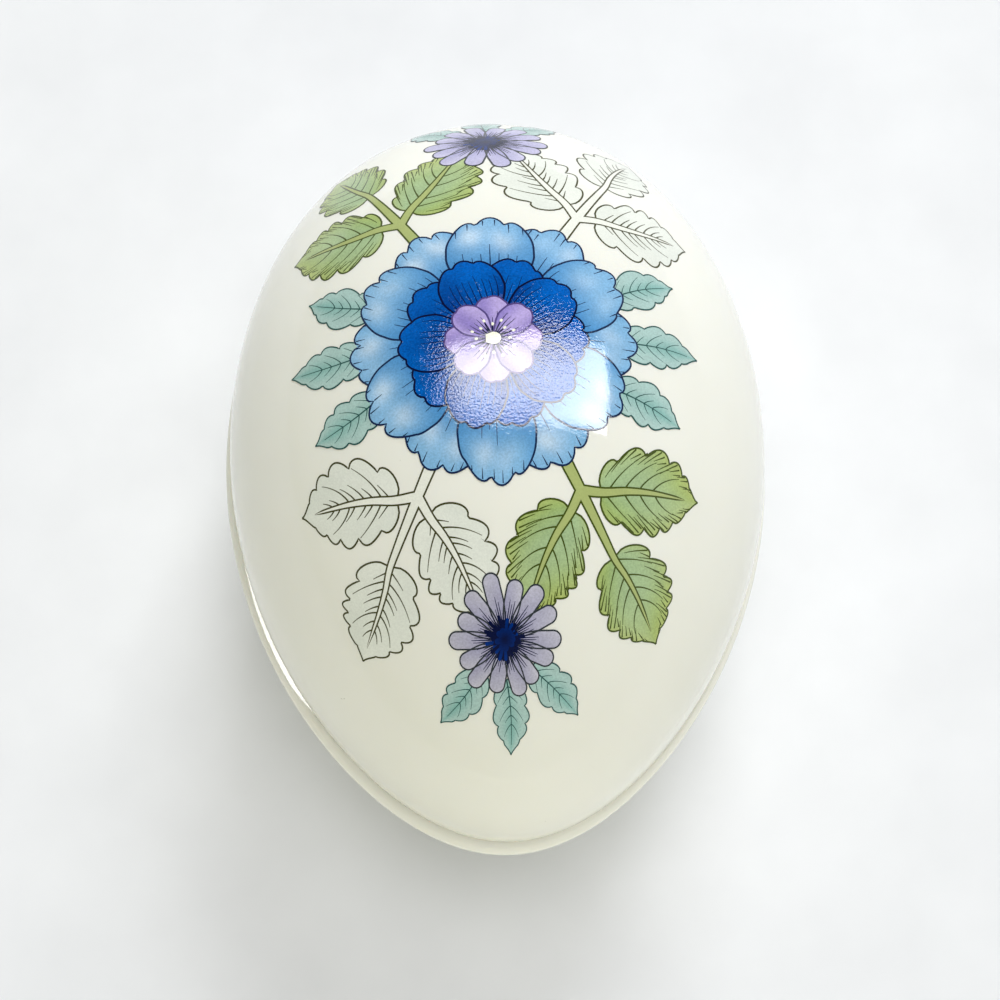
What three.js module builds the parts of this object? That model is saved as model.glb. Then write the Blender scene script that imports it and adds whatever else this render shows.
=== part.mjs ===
// A porcelain trinket box: an egg lying on its side, parted level at its widest outline into a base on
// an oval foot ring and a loose lid. Millimetres, +Z up, the small end of the egg towards -Y.
// The origin is on the surface the box stands on, under the middle of the base's rim.
import * as THREE from "three";

// The egg outline of the lid's edge, seen from above
const halfLength = 40.8;
const halfWidth = 30;
const taper = 0.08; // makes the +Y end the big one
const flank = -0.03; // pulls the sides in a little towards both ends
const nose = 0.06; // sharpens the small end

// Heights above the surface the box stands on
const seamHeight = 25.4;
const footHeight = 1.3;
const floorHeight = 3.6; // the inside floor of the base, in its middle

// The lid
const lidRise = 28.8; // seam to the outside of the crown
const swell = 0.12; // share by which the egg is taller towards its big end
const lidWall = 2.2;
const lidEdgeRound = 0.5;
const seamGap = 0.3; // between the lid's edge and the base's shoulder
const lidPlay = { x: 0.3, y: 0.6 }; // how far off centre the loose lid rests

// The base
const rimProud = 0.7; // how far the base's rim stands out past the lid
const rimRound = 0.8;
const rimBand = 1.1; // upright band under the seam, where the bowl starts
const baseWall = 2.6;
const bowlDepth = 26.6; // from the band down, if the egg weren't cut off by its foot
const floorSharpness = 8; // how quickly the inside of the bowl turns into its flat floor
const footScale = 0.52; // size of the foot ring's outside against the rim
const footWidth = 2.1;
const footRound = 0.4;

// The collar inside the base's rim that keeps the lid in place
const collarClearance = 1.0; // all round inside the lid when the lid is centred
const collarThickness = 1.6;
const collarHeight = 3;
const collarLean = 0.3; // how far the collar's outside leans in over its height
const collarBlend = 5.5; // depth over which the collar runs out into the wall below it

// Fineness of the solids
const pointsAround = 64;
const domeSteps = 12;
const bowlSteps = 16;
const roundSteps = 3;

const collarInset = lidWall + collarClearance;
const bowlInset = baseWall - rimProud;
const quarterTurn = Math.PI / 2;

// A ring is an egg outline at one height. Its inset brings it in from the lid's edge by a distance, its
// scale shrinks it towards the middle, and its swell lifts the big end and lowers the small one.
function ringPoint({ inset = 0, scale = 1, height, swell = 0 }, angle) {
  const along = Math.sin(angle);
  const fullness = 1 + taper * along + flank * along ** 2 + nose * along ** 3;
  return new THREE.Vector3(
    (halfWidth - inset) * scale * Math.cos(angle) * fullness,
    (halfLength - inset) * scale * along,
    height + swell * along,
  );
}

// The skin over a row of rings. The first and last rings have no size, so they close the solid.
function skinOver(rings) {
  const points = rings.flatMap((ring) =>
    Array.from({ length: pointsAround }, (_, i) =>
      ringPoint(ring, (i / pointsAround) * 2 * Math.PI),
    ),
  );
  const index = [];
  for (let row = 0; row < rings.length - 1; row += 1) {
    for (let i = 0; i < pointsAround; i += 1) {
      const a = row * pointsAround + i;
      const b = row * pointsAround + ((i + 1) % pointsAround);
      const c = a + pointsAround;
      const d = b + pointsAround;
      if (rings[row].scale !== 0) index.push(a, d, b);
      if (rings[row + 1].scale !== 0) index.push(a, c, d);
    }
  }
  const geometry = new THREE.BufferGeometry().setFromPoints(points);
  geometry.setIndex(index);
  geometry.computeVertexNormals();
  return geometry;
}

// Rings from the top of a dome down to its edge
function domeRings(inset, edgeHeight, rise) {
  return Array.from({ length: domeSteps + 1 }, (_, i) => {
    const slope = quarterTurn * (1 - i / domeSteps);
    return {
      inset,
      scale: i === 0 ? 0 : Math.cos(slope),
      height: edgeHeight + rise * Math.sin(slope),
      swell: rise * swell * Math.sin(slope) * Math.cos(slope),
    };
  });
}

// Rings round an arc of an edge. Angle 0 is outwards and a quarter turn is up.
function arcRings({ inset, height, scale = 1 }, radius, from, to) {
  return Array.from({ length: roundSteps + 1 }, (_, i) => {
    const angle = from + ((to - from) * i) / roundSteps;
    return {
      inset: inset - radius * Math.cos(angle),
      height: height + radius * Math.sin(angle),
      scale,
    };
  });
}

// The lid's skin: down its outside, round its edge and up its inside. Heights are from the seam.
function lidRings() {
  const outside = domeRings(0, seamGap + lidEdgeRound, lidRise - seamGap - lidEdgeRound);
  const edge = arcRings(
    { inset: lidEdgeRound, height: seamGap + lidEdgeRound },
    lidEdgeRound,
    0,
    -quarterTurn,
  );
  const inside = domeRings(lidWall, seamGap, lidRise - lidWall - seamGap).reverse();
  return [...outside, ...edge.slice(1), ...inside];
}

// The inside of the base, from the middle of its floor up to the top of the collar. It follows the
// outside of the bowl, flattens into the floor, and bulges inwards under the collar.
function baseInsideRings() {
  const depthToFloor = seamHeight - floorHeight;
  const wallDepth = bowlDepth + rimBand - baseWall;
  return Array.from({ length: bowlSteps + 1 }, (_, i) => {
    const slope = quarterTurn * (1 - i / bowlSteps);
    const bowl = wallDepth * Math.sin(slope);
    const flattening = (1 + (bowl / depthToFloor) ** floorSharpness) ** (-1 / floorSharpness);
    const depth = bowl * flattening;
    const bulge = Math.cos(Math.min(depth / collarBlend, 1) * quarterTurn) ** 2;
    const underCollar = collarInset + collarThickness - bowlInset;
    return {
      inset: bowlInset + underCollar * bulge,
      scale: i === 0 ? 0 : Math.cos(slope),
      height: seamHeight - depth,
      swell: -bowl * swell * Math.cos(slope) * flattening ** floorSharpness,
    };
  });
}

// The collar's round top and its outside, down to the shoulder
function collarRings() {
  const topRadius = (collarThickness - collarLean) / 2;
  const top = arcRings(
    {
      inset: collarInset + collarThickness - topRadius,
      height: seamHeight + collarHeight - topRadius,
    },
    topRadius,
    Math.PI,
    0,
  );
  return [...top, { inset: collarInset, height: seamHeight }];
}

// The rim's round edge and the outside of the bowl, down to the foot ring
function baseOutsideRings() {
  const edge = arcRings(
    { inset: rimRound - rimProud, height: seamHeight - rimRound },
    rimRound,
    quarterTurn,
    0,
  );
  const slopeAtFoot = Math.acos(footScale);
  const bowl = Array.from({ length: domeSteps }, (_, i) => {
    const slope = (slopeAtFoot * i) / (domeSteps - 1);
    return {
      inset: -rimProud,
      scale: Math.cos(slope),
      height: seamHeight - rimBand - bowlDepth * Math.sin(slope),
      swell: -bowlDepth * swell * Math.sin(slope) * Math.cos(slope) * (1 - i / (domeSteps - 1)),
    };
  });
  return [...edge, ...bowl];
}

// The foot ring and the hollow underside within it. The scale shrinks insets too, so the ring's
// widths are divided by it.
function footRings() {
  const outside = -rimProud;
  const inside = outside + footWidth / footScale;
  const step = footRound / footScale;
  return [
    { inset: outside, scale: footScale, height: footRound },
    { inset: outside + step, scale: footScale, height: 0 },
    { inset: inside - step, scale: footScale, height: 0 },
    { inset: inside, scale: footScale, height: footRound },
    { inset: inside + step, scale: footScale, height: footHeight },
    { inset: inside, scale: 0, height: footHeight },
  ];
}

function baseRings() {
  return [...baseInsideRings(), ...collarRings(), ...baseOutsideRings(), ...footRings()];
}

function glazed(name, rings) {
  const glaze = new THREE.MeshStandardMaterial({
    color: 0xe6e4d8,
    roughness: 0.12,
    metalness: 0,
  });
  const mesh = new THREE.Mesh(skinOver(rings), glaze);
  mesh.name = name;
  return mesh;
}

const base = glazed("base", baseRings());
const lid = glazed("lid", lidRings());
lid.position.set(lidPlay.x, lidPlay.y, seamHeight);

const group = new THREE.Group();
group.add(base, lid);

export default group;
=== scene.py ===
"""A porcelain trinket box: an egg on its side with a loose lid and a generic print of flowers.

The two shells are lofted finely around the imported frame. The print is thin ink film that lies on the
lid, built petal by petal and leaf by leaf in a flat drawing plane that is wrapped over the dome.
Lengths are in millimetres until a mesh is made.
"""

import math
import random

import bpy
import numpy as np
from mathutils import Matrix, Vector


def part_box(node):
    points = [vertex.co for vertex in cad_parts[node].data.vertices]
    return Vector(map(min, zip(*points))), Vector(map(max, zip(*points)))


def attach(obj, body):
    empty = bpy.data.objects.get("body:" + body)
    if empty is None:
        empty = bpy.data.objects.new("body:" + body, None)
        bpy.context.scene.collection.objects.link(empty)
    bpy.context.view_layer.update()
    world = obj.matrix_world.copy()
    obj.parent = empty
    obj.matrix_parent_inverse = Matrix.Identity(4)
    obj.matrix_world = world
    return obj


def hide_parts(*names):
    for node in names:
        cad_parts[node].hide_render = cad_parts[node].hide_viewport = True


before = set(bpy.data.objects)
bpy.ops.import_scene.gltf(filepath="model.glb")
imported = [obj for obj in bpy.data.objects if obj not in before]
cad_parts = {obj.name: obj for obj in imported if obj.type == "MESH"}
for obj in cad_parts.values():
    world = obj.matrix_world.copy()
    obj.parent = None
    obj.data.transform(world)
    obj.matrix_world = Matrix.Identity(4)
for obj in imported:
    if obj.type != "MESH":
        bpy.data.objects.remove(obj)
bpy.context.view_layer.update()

MM = 0.001

# The egg's outline, as in the CAD part
HALF_WIDTH = 30.0
TAPER = 0.08
FLANK = -0.03
NOSE = 0.06
SWELL = 0.12

# Lid
LID_RISE = 28.8
LID_WALL = 2.2
LID_EDGE_ROUND = 0.3
SEAM_GAP = 0.07  # the fine shells close the CAD's gap to a hairline

# Base
SEAM_HEIGHT = 25.4
FOOT_HEIGHT = 1.3
FLOOR_HEIGHT = 3.6
RIM_PROUD = 0.7
RIM_ROUND = 0.8
RIM_BAND = 1.1
BASE_WALL = 2.6
BOWL_DEPTH = 26.6
FLOOR_SHARPNESS = 8
FOOT_SCALE = 0.52
FOOT_WIDTH = 2.1
FOOT_ROUND = 0.4
COLLAR_CLEARANCE = 1.0
COLLAR_THICKNESS = 1.6
COLLAR_HEIGHT = 3.0
COLLAR_LEAN = 0.3
COLLAR_BLEND = 5.5

# Worked out from the frame
BASE_LOW, BASE_HIGH = [Vector(corner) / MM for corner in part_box("base")]
LID_LOW, LID_HIGH = [Vector(corner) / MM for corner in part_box("lid")]
HALF_LENGTH = (BASE_HIGH.y - BASE_LOW.y) / 2 - RIM_PROUD
LID_PLACE = Vector(((LID_LOW.x + LID_HIGH.x) / 2, (LID_LOW.y + LID_HIGH.y) / 2, SEAM_HEIGHT))

# Fineness of the shells
AROUND = 256
DOME_STEPS = 72
BOWL_STEPS = 64
ROUND_STEPS = 8

# Finishes of a shell's bands
GLAZED, BARE = 0, 1


# ---------------------------------------------------------------- shells


def fullness(along):
    return 1 + TAPER * along + FLANK * along**2 + NOSE * along**3


def ring(inset, height, scale=1.0, swell=0.0, finish=GLAZED):
    """An egg outline at one height, brought in by its inset and shrunk by its scale."""
    return {"inset": inset, "height": height, "scale": scale, "swell": swell, "finish": finish}


def ring_points(one):
    angle = np.linspace(0, 2 * math.pi, AROUND, endpoint=False)
    along = np.sin(angle)
    width = (HALF_WIDTH - one["inset"]) * one["scale"]
    length = (HALF_LENGTH - one["inset"]) * one["scale"]
    x = width * np.cos(angle) * fullness(along)
    return np.stack([x, length * along, one["height"] + one["swell"] * along], axis=1)


def dome_rings(inset, edge_height, rise):
    """Rings from just under the top of a dome down to its edge."""
    rings = []
    for step in range(1, DOME_STEPS + 1):
        slope = math.pi / 2 * (1 - step / DOME_STEPS)
        lift = rise * math.sin(slope)
        scale = math.cos(slope)
        rings.append(ring(inset, edge_height + lift, scale, lift * SWELL * scale))
    return rings


def arc_rings(inset, height, radius, start, end, finish=GLAZED):
    """Rings round an edge. Angle 0 is outwards and a quarter turn is up."""
    rings = []
    for step in range(ROUND_STEPS + 1):
        angle = start + (end - start) * step / ROUND_STEPS
        edge_inset = inset - radius * math.cos(angle)
        rings.append(ring(edge_inset, height + radius * math.sin(angle), finish=finish))
    return rings


def lid_rings():
    """Down the lid's outside, round its edge and up its inside, from the seam."""
    edge = SEAM_GAP + LID_EDGE_ROUND
    outside = dome_rings(0, edge, LID_RISE - edge)
    turn = arc_rings(LID_EDGE_ROUND, edge, LID_EDGE_ROUND, 0, -math.pi / 2)
    turn[-1]["finish"] = BARE
    inside_edge = SEAM_GAP + LID_EDGE_ROUND / 2
    flat = ring(LID_WALL - LID_EDGE_ROUND / 2, SEAM_GAP)
    inside = dome_rings(LID_WALL, inside_edge, LID_RISE - LID_WALL - inside_edge)
    return [*outside, *turn[1:], flat, *reversed(inside)]


def base_inside_rings():
    """Up the inside of the bowl to the collar's foot. It flattens into the floor."""
    floor_depth = SEAM_HEIGHT - FLOOR_HEIGHT
    bowl_inset = BASE_WALL - RIM_PROUD
    collar_inner = LID_WALL + COLLAR_CLEARANCE + COLLAR_THICKNESS
    rings = []
    for step in range(1, BOWL_STEPS + 1):
        slope = math.pi / 2 * (1 - step / BOWL_STEPS)
        bowl = (BOWL_DEPTH + RIM_BAND - BASE_WALL) * math.sin(slope)
        flattening = (1 + (bowl / floor_depth) ** FLOOR_SHARPNESS) ** (-1 / FLOOR_SHARPNESS)
        depth = bowl * flattening
        bulge = math.cos(min(depth / COLLAR_BLEND, 1) * math.pi / 2) ** 2
        inset = bowl_inset + (collar_inner - bowl_inset) * bulge
        swell = -bowl * SWELL * math.cos(slope) * flattening**FLOOR_SHARPNESS
        rings.append(ring(inset, SEAM_HEIGHT - depth, math.cos(slope), swell))
    return rings


def collar_rings():
    """Over the collar's round top and down its outside to the shoulder."""
    inset = LID_WALL + COLLAR_CLEARANCE
    radius = (COLLAR_THICKNESS - COLLAR_LEAN) / 2
    top_inset = inset + COLLAR_THICKNESS - radius
    top = arc_rings(top_inset, SEAM_HEIGHT + COLLAR_HEIGHT - radius, radius, math.pi, 0)
    corner = 0.25
    return [
        *top,
        ring(inset, SEAM_HEIGHT + corner),
        ring(inset - corner, SEAM_HEIGHT, finish=BARE),
        ring(LID_WALL / 2, SEAM_HEIGHT),
    ]


def base_outside_rings():
    """Round the rim and down the outside of the bowl to the foot ring."""
    edge = arc_rings(RIM_ROUND - RIM_PROUD, SEAM_HEIGHT - RIM_ROUND, RIM_ROUND, math.pi / 2, 0)
    foot_slope = math.acos(FOOT_SCALE)
    bowl = []
    for step in range(DOME_STEPS):
        share = step / (DOME_STEPS - 1)
        slope = foot_slope * share
        depth = BOWL_DEPTH * math.sin(slope)
        swell = -depth * SWELL * math.cos(slope) * (1 - share)
        bowl.append(ring(-RIM_PROUD, SEAM_HEIGHT - RIM_BAND - depth, math.cos(slope), swell))
    return [*edge, *bowl]


def foot_rings():
    """The foot ring, bare where it stands, and the glazed hollow inside it."""
    outer = -RIM_PROUD
    inner = outer + FOOT_WIDTH / FOOT_SCALE
    step = FOOT_ROUND / FOOT_SCALE
    return [
        ring(outer, FOOT_ROUND * 1.6, FOOT_SCALE),
        ring(outer + step * 0.3, FOOT_ROUND * 0.5, FOOT_SCALE, finish=BARE),
        ring(outer + step, 0, FOOT_SCALE, finish=BARE),
        ring(inner - step, 0, FOOT_SCALE, finish=BARE),
        ring(inner - step * 0.3, FOOT_ROUND * 0.5, FOOT_SCALE),
        ring(inner, FOOT_ROUND * 1.6, FOOT_SCALE),
        ring(inner + step, FOOT_HEIGHT, FOOT_SCALE),
        ring(inner + step, FOOT_HEIGHT, FOOT_SCALE * 0.5),
    ]


def loft(name, rings, start_height, end_height, place, materials):
    """A closed shell over the rings, capped by a point at either end."""
    rows = len(rings)
    points = np.concatenate([ring_points(one) for one in rings])
    poles = np.array([[0, 0, start_height], [0, 0, end_height]])
    points = (np.concatenate([points, poles]) + np.array(place)) * MM
    first_pole, last_pole = rows * AROUND, rows * AROUND + 1
    faces = []
    finishes = []
    for i in range(AROUND):
        j = (i + 1) % AROUND
        faces.append((first_pole, i, j))
        finishes.append(GLAZED)
        for row in range(rows - 1):
            top, low = row * AROUND, (row + 1) * AROUND
            faces.append((top + i, low + i, low + j, top + j))
            finishes.append(rings[row]["finish"])
        last = (rows - 1) * AROUND
        faces.append((last + i, last_pole, last + j))
        finishes.append(rings[-1]["finish"])
    mesh = bpy.data.meshes.new(name)
    mesh.from_pydata([tuple(point) for point in points], [], faces)
    mesh.polygons.foreach_set("material_index", finishes)
    mesh.polygons.foreach_set("use_smooth", [True] * len(faces))
    for material in materials:
        mesh.materials.append(material)
    mesh.update()
    piece = bpy.data.objects.new(name, mesh)
    bpy.context.scene.collection.objects.link(piece)
    return piece


# ---------------------------------------------------------------- the drawing plane


def on_lid(spots, lift=0.0):
    """Where spots of the flat drawing plane lie on the lid, and the lid's normal there.

    The plane touches the crown, and a spot's distance from its middle becomes an angle down the dome.
    """
    position = dome_position(spots)
    nudge = 0.02
    across = dome_position(spots + [nudge, 0]) - dome_position(spots - [nudge, 0])
    along = dome_position(spots + [0, nudge]) - dome_position(spots - [0, nudge])
    normal = np.cross(across, along)
    normal /= np.linalg.norm(normal, axis=1, keepdims=True)
    return position + normal * lift, normal


def dome_position(spots):
    quarter = math.pi / 2
    across = spots[:, 0] / (HALF_WIDTH * quarter)
    along = spots[:, 1] / (HALF_LENGTH * quarter)
    reach = np.hypot(across, along)
    scale = np.sin(np.minimum(reach, 1) * quarter)
    direction = np.arctan2(along, across)
    lengthwise = np.sin(direction)
    edge = SEAM_GAP + LID_EDGE_ROUND
    rise = (LID_RISE - edge) * np.cos(np.minimum(reach, 1) * quarter)
    x = HALF_WIDTH * scale * np.cos(direction) * fullness(lengthwise)
    y = HALF_LENGTH * scale * lengthwise
    z = edge + rise * (1 + SWELL * scale * lengthwise)
    return np.stack([x, y, z], axis=1) + np.array(LID_PLACE)


FILM_DEPTH = 0.03  # how far a film reaches into the glaze
FILM_LIFT = 0.006  # how far the lowest film stands proud
LAYER = 0.005  # between one drawn layer and the next


class Film:
    """A printed colour: patches of thin closed film, gathered into one piece."""

    def __init__(self):
        self.points = []
        self.normals = []
        self.colours = []
        self.faces = []
        self.count = 0

    def patch(self, spots, colours, layer):
        """Adds a sheet over a grid of spots (rows, columns, 2), with one colour or a colour each."""
        colours = np.broadcast_to(colours, (*spots.shape[:2], 3))
        down = spots[1:, :-1] - spots[:-1, :-1]
        across = spots[:-1, 1:] - spots[:-1, :-1]
        if (down[..., 0] * across[..., 1] - down[..., 1] * across[..., 0]).sum() > 0:
            spots = spots[:, ::-1]
            colours = colours[:, ::-1]
        rows, columns = spots.shape[:2]
        flat = spots.reshape(-1, 2)
        top, normal = on_lid(flat, FILM_LIFT + LAYER * layer)
        low = on_lid(flat, -FILM_DEPTH)[0]
        colour = colours.reshape(-1, 3)
        self.points += [top, low]
        self.normals += [normal, normal]
        self.colours += [colour, colour]
        under = rows * columns
        index = np.arange(under).reshape(rows, columns) + self.count
        self.count += 2 * under
        corners = [index[:-1, :-1], index[:-1, 1:], index[1:, 1:], index[1:, :-1]]
        sheet = np.stack([corner.ravel() for corner in corners], axis=1)
        rim = np.concatenate([index[0, :-1], index[:-1, -1], index[-1, :0:-1], index[:0:-1, 0]])
        following = np.roll(rim, -1)
        wall = np.stack([rim, rim + under, following + under, following], axis=1)
        self.faces += [sheet, sheet[:, ::-1] + under, wall]

    def line(self, spots, width, colour, layer, end_width=None):
        """Adds a drawn line along spots, thinning to its end width."""
        end_width = width if end_width is None else end_width
        half = np.linspace(width, end_width, len(spots)) / 2
        self.patch(np.stack(sides_of(spots, half), axis=1), colour, layer)

    def piece(self, name, material):
        points = np.concatenate(self.points) * MM
        faces = np.concatenate(self.faces)
        mesh = bpy.data.meshes.new(name)
        mesh.from_pydata(points.tolist(), [], faces.tolist())
        mesh.polygons.foreach_set("use_smooth", [True] * len(mesh.polygons))
        rgba = np.ones((len(points), 4), np.float32)
        rgba[:, :3] = np.concatenate(self.colours)
        colour = mesh.color_attributes.new("ink", "FLOAT_COLOR", "POINT")
        colour.data.foreach_set("color", rgba.ravel())
        mesh.normals_split_custom_set_from_vertices(np.concatenate(self.normals).tolist())
        mesh.materials.append(material)
        mesh.update()
        piece = bpy.data.objects.new(name, mesh)
        bpy.context.scene.collection.objects.link(piece)
        return piece


# ---------------------------------------------------------------- inks


def ink(code):
    """A linear colour from a six-digit sRGB code."""
    channels = [int(code[i : i + 2], 16) / 255 for i in (0, 2, 4)]
    return np.array([c / 12.92 if c <= 0.04045 else ((c + 0.055) / 1.055) ** 2.4 for c in channels])


def mix(first, second, share):
    """Mixes two colours, or two arrays of them, by an array of shares."""
    share = np.clip(share, 0, 1)[..., None]
    return first * (1 - share) + second * share


OLIVE = ink("48472c")
DARK_GREEN = ink("46521f")
DEEP_TEAL = ink("2c5450")
BLUE_BLACK = ink("1c2c4e")
NAVY = ink("0b1338")
DEEP_COBALT = ink("022f7c")
COBALT = ink("015bb3")
SKY = ink("4b8dc4")
PALE_SKY = ink("80b2d8")
CLOUD = ink("d2e2ef")
PLUM = ink("54467e")
VIOLET = ink("9080c2")
PALE_VIOLET = ink("b9a8dc")
CREAM = ink("f2f1dc")
LILAC = ink("8e8cba")
PALE_LILAC = ink("c2bed8")
STONE_LILAC = ink("8a88ac")
PALE_STONE = ink("c0becb")
WHITE_GLAZE = ink("e9eadf")
MIST = ink("d6dbd1")
PALE_MIST = ink("e8eae0")
GREEN = ink("93ad6c")
BLUE_GREEN = ink("9db78e")
YELLOW_GREEN = ink("bec46c")
STEM_GREEN = ink("a9b472")
AQUA = ink("a9c6c0")
DEEP_AQUA = ink("7fb0a9")

OUTLINE = 0.2
STROKE = 0.2
FINE_STROKE = 0.15


# ---------------------------------------------------------------- curves


def bow(start, end, bend, hook, share):
    """Points along a curve from start to end. It bows sideways by bend and its end turns by hook."""
    start, end = np.array(start, float), np.array(end, float)
    run = end - start
    side = np.array([-run[1], run[0]]) / np.linalg.norm(run)
    share = np.asarray(share, float)[:, None]
    return start + run * share + side * (bend * 4 * share * (1 - share) + hook * share**5)


def flowing(stops):
    """A smooth curve through the stops."""
    stops = np.array(stops, float)
    padded = np.concatenate([[2 * stops[0] - stops[1]], stops, [2 * stops[-1] - stops[-2]]])
    curve = []
    for before, start, end, after in zip(padded, padded[1:], padded[2:], padded[3:]):
        for t in np.linspace(0, 1, 8, endpoint=False):
            straight = 2 * start + (end - before) * t
            bend = 2 * before - 5 * start + 4 * end - after
            turn = 3 * start - before - 3 * end + after
            curve.append((straight + bend * t**2 + turn * t**3) / 2)
    return np.array([*curve, stops[-1]])


def sides_of(curve, half):
    """The curve shifted to either side by half a width."""
    run = np.gradient(curve, axis=0)
    run /= np.maximum(np.linalg.norm(run, axis=1, keepdims=True), 1e-9)
    side = np.stack([-run[:, 1], run[:, 0]], axis=1)
    half = np.broadcast_to(half, len(curve))[:, None]
    return curve - side * half, curve + side * half


def ruled_band(fill, lines, curve, widths, colour, line_colour, layer):
    """A stalk: an outline laid down first and a narrower band over it, so that joints stay clean."""
    rule = 0.18 * np.clip(np.linspace(9, 0.1, len(curve)), 0, 1)
    outer = np.stack(sides_of(curve, widths / 2 + rule), axis=1)
    outer[0] += rule[0] * (curve[0] - curve[1]) / np.linalg.norm(curve[0] - curve[1])
    inner = np.stack(sides_of(curve, widths / 2), axis=1)
    lines.patch(outer, line_colour, layer)
    fill.patch(inner, colour, layer + 0.7)


# ---------------------------------------------------------------- leaves


SCALLOP_DEPTH = 0.25  # share of a leaf's half width


class Leaf:
    """A lobed leaf. Its surface is mapped by t, from stalk to tip, and v, from -1 to 1 across."""

    def __init__(self, base, tip, width, bend, hook, lobes, lean=0.45):
        self.base, self.tip = base, tip
        self.width, self.bend, self.hook = width, bend, hook
        self.lobes, self.lean = lobes, lean
        self.dice = random.Random(round(base[0] * 100 + tip[1] * 10))
        self.shifts = [self.dice.uniform(-0.2, 0.2), self.dice.uniform(-0.2, 0.2)]

    def spine(self, t):
        return bow(self.base, self.tip, self.bend, self.hook, t)

    def across_at(self, t):
        step = 1e-3
        run = self.spine(t + step) - self.spine(t - step)
        run /= np.linalg.norm(run, axis=1, keepdims=True)
        return run, np.stack([-run[:, 1], run[:, 0]], axis=1)

    def half_width(self, t):
        """A broad leaf with a round base and a drawn-out tip."""
        t = np.clip(t, 0, 1)
        return self.width / 2 * 2.75 * t**0.52 * (1 - t) ** 1.18

    def lobing(self, t, v):
        """The share of the half width that the scalloped edge leaves."""
        t = np.clip(t, 0, 1)
        shift = np.where(v < 0, *self.shifts)
        phase = self.lobes * t**0.9 + shift * np.sin(2.6 * math.pi * t) + 0.06
        scallop = np.sin(math.pi * (phase % 1) ** 1.35) ** 0.5
        return 1 - SCALLOP_DEPTH * np.abs(v) ** 3 * (1 - scallop)

    def spot(self, t, v, scalloped=True):
        t, v = np.asarray(t, float), np.asarray(v, float)
        run, side = self.across_at(t)
        half = self.half_width(t)
        edge = half * v * (self.lobing(t, v) if scalloped else 1)
        forward = half * v**2 * (self.lean - 0.75 * np.exp(-t * 7))
        forward = forward * np.clip((1 - t) * 5, 0, 1)
        return self.spine(t) + side * edge[:, None] + run * forward[:, None]

    def grid(self, columns=25):
        t, v = np.meshgrid(np.linspace(0, 1, 14 * self.lobes), np.linspace(-1, 1, columns), indexing="ij")
        return self.spot(t.ravel(), v.ravel()).reshape(*t.shape, 2), t, v

    def outline(self, film, layer, colour, width=OUTLINE):
        t = np.linspace(0, 1, 14 * self.lobes)
        for v in (-1, 1):
            film.line(self.spot(t, np.full_like(t, v)), width, colour, layer)

    def stroke(self, film, start, end, layer, colour, width=STROKE):
        """A stroke on the leaf between two places (t, v), thinning to its end."""
        share = np.linspace(0, 1, 13)
        t = start[0] + (end[0] - start[0]) * share**1.2
        v = start[1] + (end[1] - start[1]) * share
        film.line(self.spot(t, v, scalloped=False), width, colour, layer, width * 0.35)


def stalk(fill, lines, stops, leaf, width, layer, colour, line_colour):
    """A stalk that runs on as its leaf's midrib and thins to nothing near the tip."""
    rib = leaf.spine(np.linspace(0.02, 0.84, 5))
    curve = flowing([*stops, *rib])
    widths = width * (1 - 0.95 * np.linspace(0, 1, len(curve)) ** 1.3)
    ruled_band(fill, lines, curve, widths, colour, line_colour, layer)


def pale_leaf(fill, lines, layer, leaf):
    """A leaf left nearly white, washed with grey towards its edges, with short strokes off its rib."""
    spots, t, v = leaf.grid()
    shade = 0.5 * (0.35 + 0.4 * np.abs(v) + 0.3 * np.sin(4 * t + 2.2 * v) + 0.25 * t)
    fill.patch(spots, mix(PALE_MIST, MIST, shade), layer)
    leaf.outline(lines, layer + 0.5, OLIVE)
    strokes = 8
    for side in (-1, 1):
        for step in range(strokes):
            start = 0.05 + 0.66 * (step + leaf.dice.uniform(-0.2, 0.2)) / strokes
            long = 0.78 if step % 4 == 1 else 0.3 + leaf.dice.uniform(0, 0.22)
            end = (start + 0.03 + 0.17 * long, side * long)
            leaf.stroke(lines, (start, side * 0.05), end, layer + 0.5, OLIVE)


def green_leaf(fill, lines, layer, leaf):
    """A leaf yellower at its tip and edges, hatched in from each lobe."""
    spots, t, v = leaf.grid()
    body = mix(GREEN, BLUE_GREEN, 0.5 + 0.6 * np.sin(4 * t + 2 * v))
    edge = 0.5 * (0.15 + np.abs(v) ** 3 * 0.8 + t**2 * 0.8)
    fill.patch(spots, mix(body, YELLOW_GREEN, edge), layer)
    leaf.outline(lines, layer + 0.5, DARK_GREEN)
    for side in (-1, 1):
        for step in range(4):
            start = 0.04 + 0.6 * (step + leaf.dice.uniform(-0.15, 0.15)) / 4
            leaf.stroke(lines, (start, side * 0.05), (start + 0.2, side * 0.72), layer + 0.5, DARK_GREEN)
        for step in range(3 * leaf.lobes):
            at = 0.12 + 0.82 * step / (3 * leaf.lobes)
            rim = side * 0.97 * float(leaf.lobing(np.array(at), np.array(side)))
            reach = side * (0.5 + leaf.dice.uniform(0, 0.26))
            back = at - 0.14 * (1 - abs(reach)) - 0.02
            leaf.stroke(lines, (at, rim), (back, reach), layer + 0.5, DARK_GREEN, 0.18)


def aqua_leaf(fill, lines, layer, leaf):
    """A small blue-green leaf, darker along its rib."""
    spots, t, v = leaf.grid(9)
    fill.patch(spots, mix(DEEP_AQUA, AQUA, 0.2 + 1.2 * np.abs(v) + 0.2 * np.sin(7 * t)), layer)
    leaf.outline(lines, layer + 0.5, DEEP_TEAL, 0.16)
    leaf.stroke(lines, (0.0, 0.0), (0.85, 0.0), layer + 0.6, DEEP_TEAL, 0.2)
    for side in (-1, 1):
        for step in range(5):
            start = 0.08 + 0.6 * step / 5
            long = 0.7 if step % 2 == 0 else 0.4
            leaf.stroke(lines, (start, 0), (start + 0.2 * long, side * long), layer + 0.5, DEEP_TEAL, 0.13)


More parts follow.
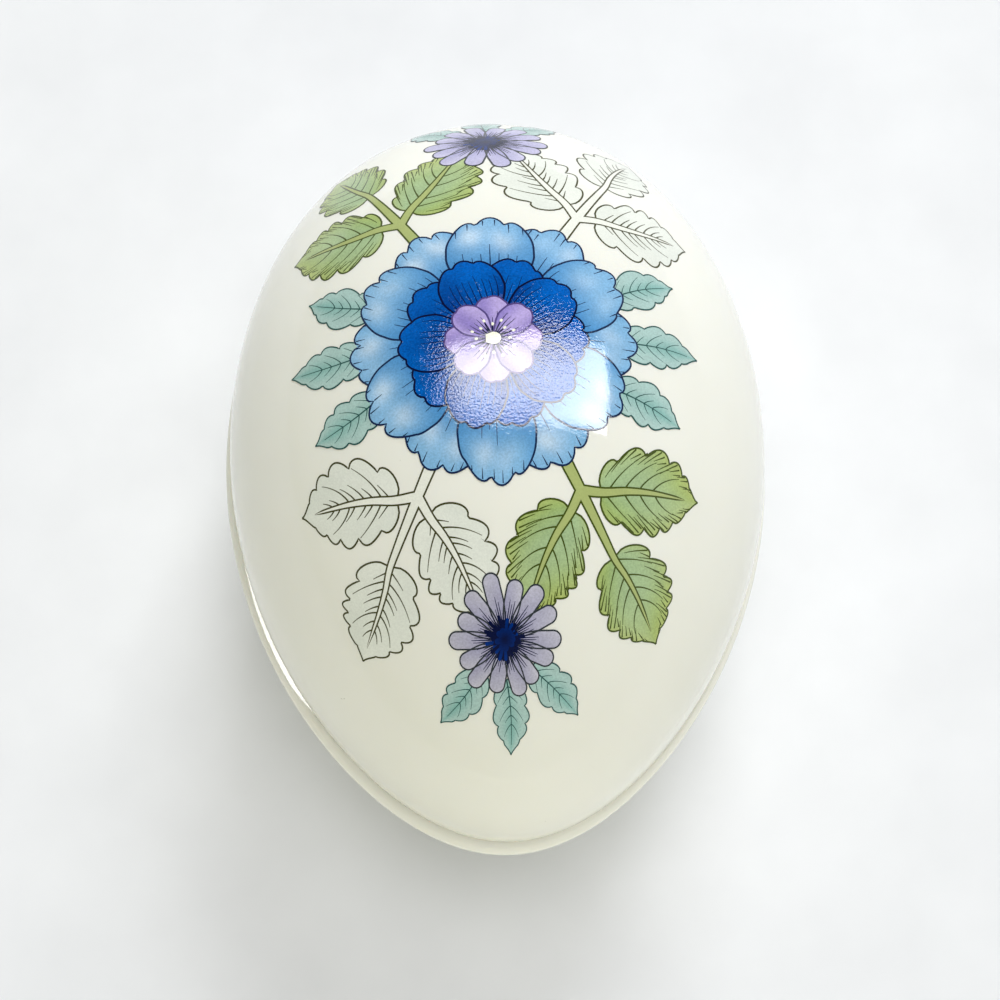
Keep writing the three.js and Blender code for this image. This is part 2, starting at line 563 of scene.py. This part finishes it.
# ---------------------------------------------------------------- petals and flowers


class Petal:
    """A petal mapped by u, from its root to its tip, and v, from -1 to 1 across."""

    def __init__(
        self, centre, heading, root, tip, width, waist=0.3, lobes=1, depth=0.0, roundness=1.0, seed=0
    ):
        self.centre = np.array(centre, float)
        self.axis = np.array([math.cos(heading), math.sin(heading)])
        self.side = np.array([-self.axis[1], self.axis[0]])
        self.root, self.length, self.width, self.waist = root, tip - root, width, waist
        self.lobes, self.depth, self.roundness = lobes, depth, roundness
        self.dice = random.Random(seed)
        self.phase = self.dice.uniform(-0.3, 0.3)

    def spot(self, u, v):
        u, v = np.asarray(u, float), np.asarray(v, float)
        spread = self.waist + (1 - self.waist) * np.sin(np.clip(u / 0.65, 0, 1) * math.pi / 2)
        across = self.width / 2 * v * spread
        corner = self.roundness * self.width / 2 / self.length
        round_off = corner * (1 - np.sqrt(np.clip(1 - v**2, 0, 1)))
        wave = np.abs(np.sin(math.pi * (self.lobes * (v + 1) / 2 + self.phase))) ** 0.5
        reach = 1 - round_off - self.depth * (1 - wave) * (1 - v**4)
        out = self.root + self.length * u * (1 + (reach - 1) * u**1.5)
        return self.centre + self.axis * out[..., None] + self.side * across[..., None]

    def grid(self, rows, columns):
        across = np.sin(np.linspace(-math.pi / 2, math.pi / 2, columns))
        u, v = np.meshgrid(np.linspace(0, 1, rows), across, indexing="ij")
        return self.spot(u, v), u, v

    def outline(self, film, layer, colour, width):
        up = np.linspace(0.03, 1, 16)
        over = np.sin(np.linspace(-math.pi / 2, math.pi / 2, 14 * max(self.lobes, 2)))[1:-1]
        u = np.concatenate([up, np.ones_like(over), up[::-1]])
        v = np.concatenate([-np.ones_like(up), over, np.ones_like(up)])
        film.line(self.spot(u, v), width, colour, layer)

    def stroke(self, film, v, start, end, layer, colour, width=STROKE):
        u = np.linspace(start, end, 10)
        film.line(self.spot(u, np.full_like(u, v)), width, colour, layer, width * 0.3)


def outer_petal(fill, lines, centre, heading, tip, width, layer, seed):
    """A broad sky-blue petal, darker at its root and clouded with white near its tip."""
    petal = Petal(
        centre, heading, 4.0, tip, width, waist=0.4, lobes=3, depth=0.11, roundness=1.05, seed=seed
    )
    spots, u, v = petal.grid(28, 27)
    colours = mix(COBALT, SKY, (u - 0.05) / 0.45)
    colours = mix(colours, PALE_SKY, (u - 0.4) / 0.35)
    colours = mix(colours, SKY, 0.8 * (np.abs(v) - 0.6) / 0.4)
    for place in (petal.dice.uniform(-0.5, -0.15), petal.dice.uniform(0.15, 0.5)):
        far = petal.dice.uniform(0.68, 0.82)
        cloud = np.exp(-(((u - far) / 0.13) ** 2) - ((v - place) / 0.26) ** 2)
        colours = mix(colours, CLOUD, petal.dice.uniform(0.1, 0.75) * cloud)
    fill.patch(spots, colours, layer)
    petal.outline(lines, layer + 0.5, BLUE_BLACK, OUTLINE)
    for step in range(9):
        place = -0.84 + 1.68 * step / 8
        reach = 0.56 + petal.dice.uniform(-0.08, 0.1) - 0.12 * abs(place)
        petal.stroke(lines, place, 0.1, reach, layer + 0.5, BLUE_BLACK)
    for step in range(6):
        place = -0.75 + 1.5 * (step + petal.dice.uniform(-0.2, 0.2)) / 5
        reach = 0.84 + petal.dice.uniform(0, 0.08)
        petal.stroke(lines, place, 0.98, reach, layer + 0.5, BLUE_BLACK, FINE_STROKE)


def middle_petal(fill, lines, centre, heading, tip, width, layer, seed):
    """A deep blue petal, darker towards its root."""
    petal = Petal(centre, heading, 1.5, tip, width, lobes=3, depth=0.08, roundness=1.05, seed=seed)
    spots, u, v = petal.grid(18, 19)
    shade = 0.1 + 1.1 * u - 0.3 * v**2 + 0.2 * np.sin(3 * v + seed)
    fill.patch(spots, mix(DEEP_COBALT, COBALT, shade), layer)
    petal.outline(lines, layer + 0.5, NAVY, OUTLINE)
    for step in range(9):
        reach = 0.66 + petal.dice.uniform(-0.12, 0.1)
        petal.stroke(lines, -0.8 + 1.6 * step / 8, 0.05, reach, layer + 0.5, NAVY, FINE_STROKE)


def heart_petal(fill, lines, centre, heading, layer, seed):
    """A small violet petal of the flower's heart."""
    petal = Petal(centre, heading, 0.2, 4.6, 3.0, waist=0.14, lobes=2, depth=0.05, roundness=1.0, seed=seed)
    spots, u, v = petal.grid(16, 17)
    fill.patch(spots, mix(VIOLET, PALE_VIOLET, 0.45 + 0.45 * np.sin(3 * v + seed) + 0.3 * (u - 0.5)), layer)
    petal.outline(lines, layer + 0.5, PLUM, 0.17)
    for step in range(5):
        reach = 0.52 + petal.dice.uniform(-0.14, 0.1)
        petal.stroke(lines, -0.6 + 1.2 * step / 4, 0.04, reach, layer + 0.5, NAVY, FINE_STROKE)


OUTER_PETALS, MIDDLE_PETALS, HEART_PETALS = 12, 10, 8
STAMENS = 16


def blossom(films, lines, centre, layer):
    """The large flower: two even rows of blue petals, a violet row and a cream eye with stamens."""
    centre = np.array(centre, float)
    for step in range(OUTER_PETALS):
        heading = 2 * math.pi * step / OUTER_PETALS
        height = layer + step % 2
        outer_petal(films["petals"], lines, centre, heading, 14.6, 8.2, height, seed=30 + step)
    for step in range(MIDDLE_PETALS):
        heading = 2 * math.pi * step / MIDDLE_PETALS
        height = layer + 3.2 + step % 2
        middle_petal(films["cobalt"], lines, centre, heading, 9.3, 6.0, height, seed=50 + step)
    for step in range(HEART_PETALS):
        heading = 2 * math.pi * step / HEART_PETALS
        height = layer + 5.2 + 0.7 * (step % 2)
        heart_petal(films["heart"], lines, centre, heading, height, seed=70 + step)
    eye = Petal(centre, 0, -0.65, 0.7, 1.3, waist=0.6)
    films["heart"].patch(eye.grid(9, 9)[0], CREAM, layer + 7.4)
    for step in range(STAMENS):
        heading = 2 * math.pi * step / STAMENS
        reach = 2.0 if step % 2 else 1.5
        end = centre + reach * np.array([math.cos(heading), math.sin(heading)])
        anther = Petal(end, heading, -0.16, 0.18, 0.26, waist=0.6, seed=step)
        lines.line(bow(centre, end, 0.05, 0, np.linspace(0.3, 1, 6)), 0.12, NAVY, layer + 6.7)
        films["heart"].patch(anther.grid(5, 5)[0], CREAM, layer + 7.1)


def daisy(fill, lines, centre, radius, petals, layer, dark, light):
    """A daisy with long round-ended petals and a navy eye."""
    centre = np.array(centre, float)
    dice = random.Random(petals)
    for step in range(petals):
        heading = 2 * math.pi * (step + dice.uniform(-0.12, 0.12)) / petals
        tip = radius * (1 + dice.uniform(-0.13, 0.07))
        width = 2 * math.pi * radius / petals * 0.64
        petal = Petal(centre, heading, 0.8, tip, width, waist=0.36, roundness=1.0, seed=step)
        spots, u, v = petal.grid(16, 13)
        shade = 0.1 + 0.75 * u + 0.35 * v * dice.uniform(-1, 1)
        fill.patch(spots, mix(dark, light, shade), layer + (step % 2) * 0.35)
        petal.outline(lines, layer + 0.9, BLUE_BLACK * 0.5 + OLIVE * 0.5, 0.18)
        for place in (-0.62, -0.3, 0, 0.3, 0.62):
            reach = 0.6 + dice.uniform(-0.16, 0.1) - 0.25 * abs(place)
            petal.stroke(lines, place, 0.0, reach, layer + 0.9, NAVY)
    for step in range(40):
        heading = 2.4 * step
        tip = radius * dice.uniform(0.2, 0.42)
        lobe = Petal(centre, heading, 0, tip, radius * 0.055, waist=0.7, seed=step)
        spots, u, v = lobe.grid(8, 5)
        blue = DEEP_COBALT if step % 4 == 0 else NAVY
        fill.patch(spots, mix(NAVY, blue, u), layer + 1.4 + 0.03 * step)
    for step in range(9):
        heading = 2.4 * step
        lobe = Petal(centre, heading, 0, radius * 0.19, radius * 0.1, waist=0.6, seed=step)
        spots, u, v = lobe.grid(8, 7)
        fill.patch(spots, mix(NAVY, DEEP_COBALT, 0.5 * u), layer + 2.7 + 0.03 * step)


# ---------------------------------------------------------------- the print's layout

# A generic print, laid out evenly round the blossom's middle. Distances are from that middle.
BLOSSOM_PLACE = (0, 5.5)
SPRIG_HEADINGS = (60, 120, 240, 300)  # degrees
SPRIG_START, SPRIG_NODE, SPRIG_END = 9, 17.5, 25
STEM_WIDTH, SIDE_STALK_WIDTH = 1.1, 0.85
LEAF_LENGTH, LEAF_WIDTH = 12, 9.6
LEAF_SPREAD = 0.94  # angle between the stem and a side leaf
DAISY_DISTANCE, DAISY_RADIUS, DAISY_PETALS = 30, 6.8, 14
FAN_LEAF_LENGTH, FAN_LEAF_WIDTH = 10, 5
FAN_START, FAN_SPREAD = 12.5, 0.4  # from under the blossom's outer petals
DAISY_FAN_START, DAISY_FAN_SPREAD = 4.5, 0.75  # from under a daisy's petals

PALE_LAYER, GREEN_LAYER, AQUA_LAYER, FLOWER_LAYER = 1, 3, 7, 8


def toward(heading, distance, start=BLOSSOM_PLACE):
    """The spot at a heading and a distance from a start."""
    return np.array(start) + distance * np.array([math.cos(heading), math.sin(heading)])


def leaf_from(start, heading, bend, gap=2.2):
    """A leaf that grows away from a start, a short stalk's length off."""
    tip = toward(heading, gap + LEAF_LENGTH, start)
    return Leaf(toward(heading, gap, start), tip, LEAF_WIDTH, bend, bend, lobes=6)


def draw_sprig(films, lines, heading, draw_leaf, colours, layer):
    """A stem from under the blossom, with a pair of leaves and a third leaf at its end."""
    node, end = toward(heading, SPRIG_NODE), toward(heading, SPRIG_END)
    last = leaf_from(end, heading, 0.6, gap=0.4)
    pair = [leaf_from(node, heading + side * LEAF_SPREAD, side * 0.7) for side in (-1, 1)]
    fill = films["green"] if draw_leaf is green_leaf else films["pale"]
    for leaf in [last, *pair]:
        draw_leaf(fill, lines, layer, leaf)
    stops = [toward(heading, distance) for distance in np.linspace(SPRIG_START, SPRIG_END - 2, 7)]
    stalk(films["stems"], lines, stops, last, STEM_WIDTH, layer + 1, *colours)
    for leaf in pair:
        stalk(films["stems"], lines, [node], leaf, SIDE_STALK_WIDTH, layer + 1, *colours)


def draw_aqua_fan(films, lines, centre, heading, start, spread):
    """Three small leaves that show from under a flower."""
    for step in (-1, 0, 1):
        way = heading + spread * step
        base = toward(way, start, centre)
        tip = toward(way, start + FAN_LEAF_LENGTH - abs(step), centre)
        leaf = Leaf(base, tip, FAN_LEAF_WIDTH, 0.4, 0.2, lobes=4, lean=0.6)
        aqua_leaf(films["aqua"], lines, AQUA_LAYER, leaf)


def draw_print(films):
    leaf_lines, flower_lines = films["leaf_lines"], films["flower_lines"]
    for step, degrees in enumerate(SPRIG_HEADINGS):
        heading = math.radians(degrees)
        if step % 2:
            draw_sprig(films, leaf_lines, heading, green_leaf, (STEM_GREEN, DARK_GREEN), GREEN_LAYER)
        else:
            draw_sprig(films, leaf_lines, heading, pale_leaf, (WHITE_GLAZE, OLIVE), PALE_LAYER)
    for heading in (0, math.pi):
        draw_aqua_fan(films, leaf_lines, BLOSSOM_PLACE, heading, FAN_START, FAN_SPREAD)
    for heading, dark, light in (
        (-math.pi / 2, STONE_LILAC, PALE_STONE),
        (math.pi / 2, LILAC, PALE_LILAC),
    ):
        place = toward(heading, DAISY_DISTANCE)
        draw_aqua_fan(films, leaf_lines, place, heading, DAISY_FAN_START, DAISY_FAN_SPREAD)
        daisy(films["daisy"], flower_lines, place, DAISY_RADIUS, DAISY_PETALS, FLOWER_LAYER, dark, light)
    blossom(films, flower_lines, BLOSSOM_PLACE, FLOWER_LAYER)


# ---------------------------------------------------------------- materials


def new_material(name):
    material = bpy.data.materials.new(name)
    material.use_nodes = True
    nodes, links = material.node_tree.nodes, material.node_tree.links
    shader = nodes["Principled BSDF"]
    place = nodes.new("ShaderNodeTexCoord").outputs["Object"]
    return material, nodes, links, shader, place


def noise(nodes, links, place, scale, detail=3.0):
    texture = nodes.new("ShaderNodeTexNoise")
    texture.inputs["Scale"].default_value = scale
    texture.inputs["Detail"].default_value = detail
    links.new(place, texture.inputs["Vector"])
    return texture.outputs["Fac"]


def ramp(nodes, links, value, stops):
    node = nodes.new("ShaderNodeValToRGB")
    elements = node.color_ramp.elements
    while len(elements) < len(stops):
        elements.new(0.5)
    for element, (position, colour) in zip(elements, stops):
        element.position = position
        element.color = (*colour, 1)
    links.new(value, node.inputs["Fac"])
    return node.outputs["Color"]


def blend_colours(nodes, links, kind, share, first, second):
    node = nodes.new("ShaderNodeMix")
    node.data_type = "RGBA"
    node.blend_type = kind
    if isinstance(share, float):
        node.inputs["Factor"].default_value = share
    else:
        links.new(share, node.inputs["Factor"])
    links.new(first, node.inputs["A"])
    links.new(second, node.inputs["B"])
    return node.outputs["Result"]


def bump(nodes, links, height, distance, under=None):
    node = nodes.new("ShaderNodeBump")
    node.inputs["Distance"].default_value = distance
    links.new(height, node.inputs["Height"])
    if under is not None:
        links.new(under, node.inputs["Normal"])
    return node.outputs["Normal"]


def glossy(nodes, links, shader, place, relief=0.0):
    """A sharp clear coat that ripples very slightly, broken up by the relief of a print."""
    shader.inputs["Roughness"].default_value = 0.42
    shader.inputs["Specular IOR Level"].default_value = 0.0
    shader.inputs["Coat Weight"].default_value = 1.0
    shader.inputs["Coat Roughness"].default_value = 0.03
    shader.inputs["Coat IOR"].default_value = 1.52
    ripple = bump(nodes, links, noise(nodes, links, place, 95, 1.5), 0.00004)
    if relief:
        ripple = bump(nodes, links, noise(nodes, links, place, 4400, 2), 0.000034 * relief, ripple)
    links.new(ripple, shader.inputs["Coat Normal"])
    links.new(ripple, shader.inputs["Normal"])


def porcelain(name):
    material, nodes, links, shader, place = new_material(name)
    body = ramp(
        nodes, links, noise(nodes, links, place, 38),
        [(0.3, ink("eae9de")), (0.7, ink("f0efe5"))],
    )
    specks = noise(nodes, links, place, 900, 2)
    clean = ramp(nodes, links, specks, [(0.17, ink("8a8468")), (0.2, (1, 1, 1))])
    colour = blend_colours(nodes, links, "MULTIPLY", 0.5, body, clean)
    links.new(colour, shader.inputs["Base Color"])
    shader.inputs["Subsurface Weight"].default_value = 0.12
    shader.inputs["Subsurface Radius"].default_value = (0.0022, 0.0018, 0.0012)
    shader.inputs["Subsurface Scale"].default_value = 1.0
    glossy(nodes, links, shader, place)
    return material


def bare_porcelain(name):
    material, nodes, links, shader, place = new_material(name)
    body = ramp(
        nodes, links, noise(nodes, links, place, 260),
        [(0.35, ink("d4cebb")), (0.65, ink("e6e2d3"))],
    )
    links.new(body, shader.inputs["Base Color"])
    shader.inputs["Roughness"].default_value = 0.75
    links.new(bump(nodes, links, noise(nodes, links, place, 4200), 0.00004), shader.inputs["Normal"])
    return material


def printed(name, grain, relief):
    """Transfer ink: the fine dots of its print show in its colour and in how its gloss breaks up."""
    material, nodes, links, shader, place = new_material(name)
    attribute = nodes.new("ShaderNodeVertexColor")
    attribute.layer_name = "ink"
    dots = ramp(
        nodes, links, noise(nodes, links, place, 5200, 2),
        [(0.35, (1 - grain,) * 3), (0.65, (1 + grain,) * 3)],
    )
    washes = ramp(
        nodes, links, noise(nodes, links, place, 420, 2),
        [(0.3, (1 - grain / 2,) * 3), (0.7, (1 + grain / 2,) * 3)],
    )
    colour = blend_colours(nodes, links, "MULTIPLY", 1.0, attribute.outputs["Color"], dots)
    colour = blend_colours(nodes, links, "MULTIPLY", 1.0, colour, washes)
    links.new(colour, shader.inputs["Base Color"])
    glossy(nodes, links, shader, place, relief)
    return material


# ---------------------------------------------------------------- the pieces

glaze_lid = porcelain("glaze_lid")
glaze_base = porcelain("glaze_base")
bare = bare_porcelain("bare_porcelain")

lid = loft(
    "lid_shell", lid_rings(), LID_RISE, LID_RISE - LID_WALL, LID_PLACE, [glaze_lid, bare],
)
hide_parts("lid")
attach(lid, "lid")

base_rings = [*base_inside_rings(), *collar_rings(), *base_outside_rings(), *foot_rings()]
floor_depth = SEAM_HEIGHT - FLOOR_HEIGHT
full_depth = BOWL_DEPTH + RIM_BAND - BASE_WALL
floor_flattening = (1 + (full_depth / floor_depth) ** FLOOR_SHARPNESS) ** (-1 / FLOOR_SHARPNESS)
floor_height = SEAM_HEIGHT - full_depth * floor_flattening
base = loft("base_shell", base_rings, floor_height, FOOT_HEIGHT, (0, 0, 0), [glaze_base, bare])
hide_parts("base")
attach(base, "base")

# Each film with the strength of its print's grain and the roughness of its surface
PRINTS = {
    "pale": (0.04, 0.05),
    "stems": (0.04, 0.05),
    "green": (0.1, 0.08),
    "aqua": (0.08, 0.08),
    "daisy": (0.1, 0.12),
    "petals": (0.1, 0.2),
    "cobalt": (0.2, 1.0),
    "heart": (0.1, 0.3),
    "leaf_lines": (0.05, 0.06),
    "flower_lines": (0.05, 0.3),
}
films = {name: Film() for name in PRINTS}
draw_print(films)
for name, (grain, relief) in PRINTS.items():
    piece = films[name].piece(f"print_{name}", printed(f"ink_{name}", grain, relief))
    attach(piece, "lid")


# ---------------------------------------------------------------- floor, light and camera


def pale_floor():
    size = 1.5
    mesh = bpy.data.meshes.new("floor")
    corners = [(-size, -size, 0), (size, -size, 0), (size, size, 0), (-size, size, 0)]
    mesh.from_pydata(corners, [], [(0, 1, 2, 3)])
    material, nodes, links, shader, place = new_material("floor_white")
    colour = ramp(
        nodes, links, noise(nodes, links, place, 60),
        [(0.3, ink("e3e4e6")), (0.7, ink("e9eaec"))],
    )
    links.new(colour, shader.inputs["Base Color"])
    shader.inputs["Roughness"].default_value = 0.9
    mesh.materials.append(material)
    floor = bpy.data.objects.new("floor", mesh)
    bpy.context.scene.collection.objects.link(floor)


def area_light(name, centre, aim, width, height, power, colour=(1, 1, 1)):
    data = bpy.data.lights.new(name, "AREA")
    data.shape = "RECTANGLE"
    data.size, data.size_y = width, height
    data.energy = power
    data.color = colour
    lamp = bpy.data.objects.new(name, data)
    bpy.context.scene.collection.objects.link(lamp)
    lamp.location = centre
    lamp.rotation_euler = (Vector(aim) - Vector(centre)).to_track_quat("-Z", "Y").to_euler()
    lamp.visible_camera = False
    return lamp


def soft_sun(name, source, spread, strength, colour):
    """Light from the source's direction that is as strong far out on the floor as under the box."""
    data = bpy.data.lights.new(name, "SUN")
    data.angle = math.radians(spread)
    data.energy = strength
    data.color = colour
    lamp = bpy.data.objects.new(name, data)
    bpy.context.scene.collection.objects.link(lamp)
    lamp.rotation_euler = Vector(source).to_track_quat("Z", "Y").to_euler()
    return lamp


def soft_room():
    """An even pale room, a little brighter to the right and beyond the box."""
    world = bpy.data.worlds.new("studio")
    bpy.context.scene.world = world
    world.use_nodes = True
    nodes, links = world.node_tree.nodes, world.node_tree.links
    direction = nodes.new("ShaderNodeTexCoord").outputs["Generated"]
    side = nodes.new("ShaderNodeVectorMath")
    side.operation = "DOT_PRODUCT"
    side.inputs[1].default_value = (0.35, 0.1, 0)
    links.new(direction, side.inputs[0])
    shift = nodes.new("ShaderNodeMath")
    shift.inputs[1].default_value = 0.5
    links.new(side.outputs["Value"], shift.inputs[0])
    walls = ramp(nodes, links, shift.outputs["Value"], [(0.0, ink("b9bd96")), (1.0, ink("f1f8ff"))])
    height = nodes.new("ShaderNodeSeparateXYZ")
    links.new(direction, height.inputs["Vector"])
    ceiling = ramp(nodes, links, height.outputs["Z"], [(0.3, (1, 1, 1)), (0.75, (0.04, 0.04, 0.04))])
    shade = blend_colours(nodes, links, "MULTIPLY", 1.0, walls, ceiling)
    links.new(shade, nodes["Background"].inputs["Color"])
    nodes["Background"].inputs["Strength"].default_value = 0.64


pale_floor()
soft_room()
key = area_light("key", (0.32, 1.0, 0.82), (0, 0, 0.02), 0.6, 0.6, 11.0, (0.97, 0.99, 1.03))
overhead = soft_sun("overhead", (0.06, 0.0, 0.9), 48, 1.73, (1.0, 0.995, 0.99))
front = area_light("front", (0.0, -1.2, 0.22), (0, 0, 0.02), 1.0, 0.3, 4.0, (1.06, 1.03, 0.78))
window = area_light("window", (0.068, 0.091, 0.425), (-0.1, 0.106, 0.025), 0.15, 0.47, 3.2)
window.visible_diffuse = False
for lamp in (key, overhead, front):
    lamp.visible_glossy = False

# The camera stands over the small end, 74 degrees up, with its own slight tilt to one side.
CAMERA_DISTANCE = 184.9
CAMERA_LEAN = math.radians(16.33)  # from straight down
CAMERA_ROLL = math.radians(-2.24)
AIM_BELOW = 2.1  # the view's middle lies this far below the middle of the seam
AIM_RIGHT = 0.4

seam_middle = Vector((0, 0, SEAM_HEIGHT)) * MM
backwards = Vector((0, -math.sin(CAMERA_LEAN), math.cos(CAMERA_LEAN)))
rightwards = Vector((1, 0, 0))
upwards = backwards.cross(rightwards)
eye = seam_middle + backwards * CAMERA_DISTANCE * MM
aim = seam_middle + (rightwards * AIM_RIGHT - upwards * AIM_BELOW) * MM
look = (eye - aim).normalized()
right = upwards.cross(look).normalized()
axes = Matrix((right, look.cross(right), look)).transposed().to_4x4()

camera_data = bpy.data.cameras.new("camera")
camera_data.sensor_width = 36
camera_data.lens = 58.57
camera_data.clip_start = 0.01
camera = bpy.data.objects.new("camera", camera_data)
bpy.context.scene.collection.objects.link(camera)
camera.matrix_world = Matrix.Translation(eye) @ axes @ Matrix.Rotation(CAMERA_ROLL, 4, "Z")
bpy.context.scene.camera = camera
bpy.context.scene.view_settings.view_transform = "Standard"
